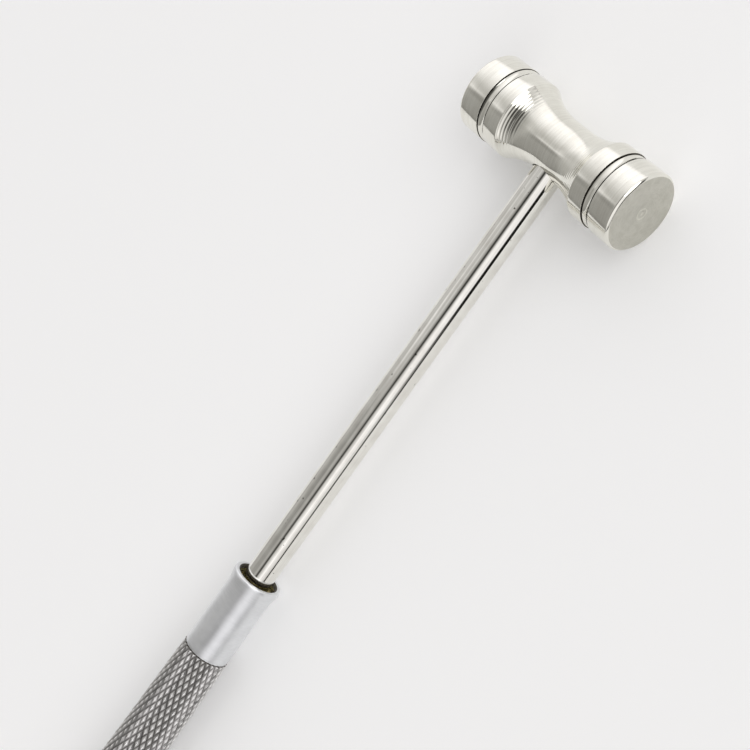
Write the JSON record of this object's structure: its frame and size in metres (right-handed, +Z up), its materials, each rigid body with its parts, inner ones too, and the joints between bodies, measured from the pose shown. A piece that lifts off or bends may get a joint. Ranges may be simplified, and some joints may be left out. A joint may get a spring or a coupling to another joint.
{
  "type": "reflex hammer",
  "caption": "All-metal reflex hammer: waisted double-faced head on a slim rod that screws into a hollow knurled grip, which stores a needle and a brush.",
  "frame": {"origin": "on the table, under the middle of the overall length, as the hammer lies at rest on both drums and the widest ring of its grip", "axes": "+X from the grip towards the head, +Y along the head's axis from one striking face to the other, +Z up from the table"},
  "size_m": [0.1792, 0.0364, 0.014],
  "materials": {
    "bright_nickel": "bright turned nickel plate with fine concentric tool lines",
    "polished_rod": "polished rod with faint lengthwise drawing lines",
    "plug_brass": "machined brass, slightly tarnished",
    "bright_steel": "ground steel",
    "nylon": "natural nylon",
    "satin_grip": "satin turned neck, diamond knurling below it",
    "bristle": "pale fine bristle"
  },
  "bodies": {
    "grip": {"handle_tube": "satin_grip"},
    "plug_seat": {"plug_washer": "nylon"},
    "percussor": {"head_body": "bright_nickel", "shaft": "polished_rod", "thread_plug": "plug_brass", "plug_pin": "bright_steel", "needle_collet": "plug_brass", "needle": "bright_steel"},
    "cap_seat": {"cap_washer": "nylon"},
    "cap": {"end_cap": "satin_grip", "brush_ferrule": "bright_steel", "brush_bristles": "bristle"}
  },
  "joints": [
    {"name": "shaft_travel", "type": "slide", "parent": "grip", "child": "plug_seat", "axis": [0.9999, 0, 0.0122], "range_m": [0, 0.01]},
    {"name": "shaft_turn", "type": "hinge", "parent": "plug_seat", "child": "percussor", "pos_m": [-0.00697, 0, 0.00591], "axis": [0.9999, 0, 0.0122], "range_deg": [0, 3600]},
    {"name": "cap_travel", "type": "slide", "parent": "grip", "child": "cap_seat", "axis": [-0.9999, 0, -0.0122], "range_m": [0, 0.00675]},
    {"name": "cap_turn", "type": "hinge", "parent": "cap_seat", "child": "cap", "pos_m": [-0.08296, 0, 0.00498], "axis": [-0.9999, 0, -0.0122], "range_deg": [0, 3240]}
  ],
  "couplings": [
    {"joint": "shaft_turn", "follows": "shaft_travel", "rad_per_m": 6283.2},
    {"joint": "cap_turn", "follows": "cap_travel", "rad_per_m": 8377.6}
  ]
}
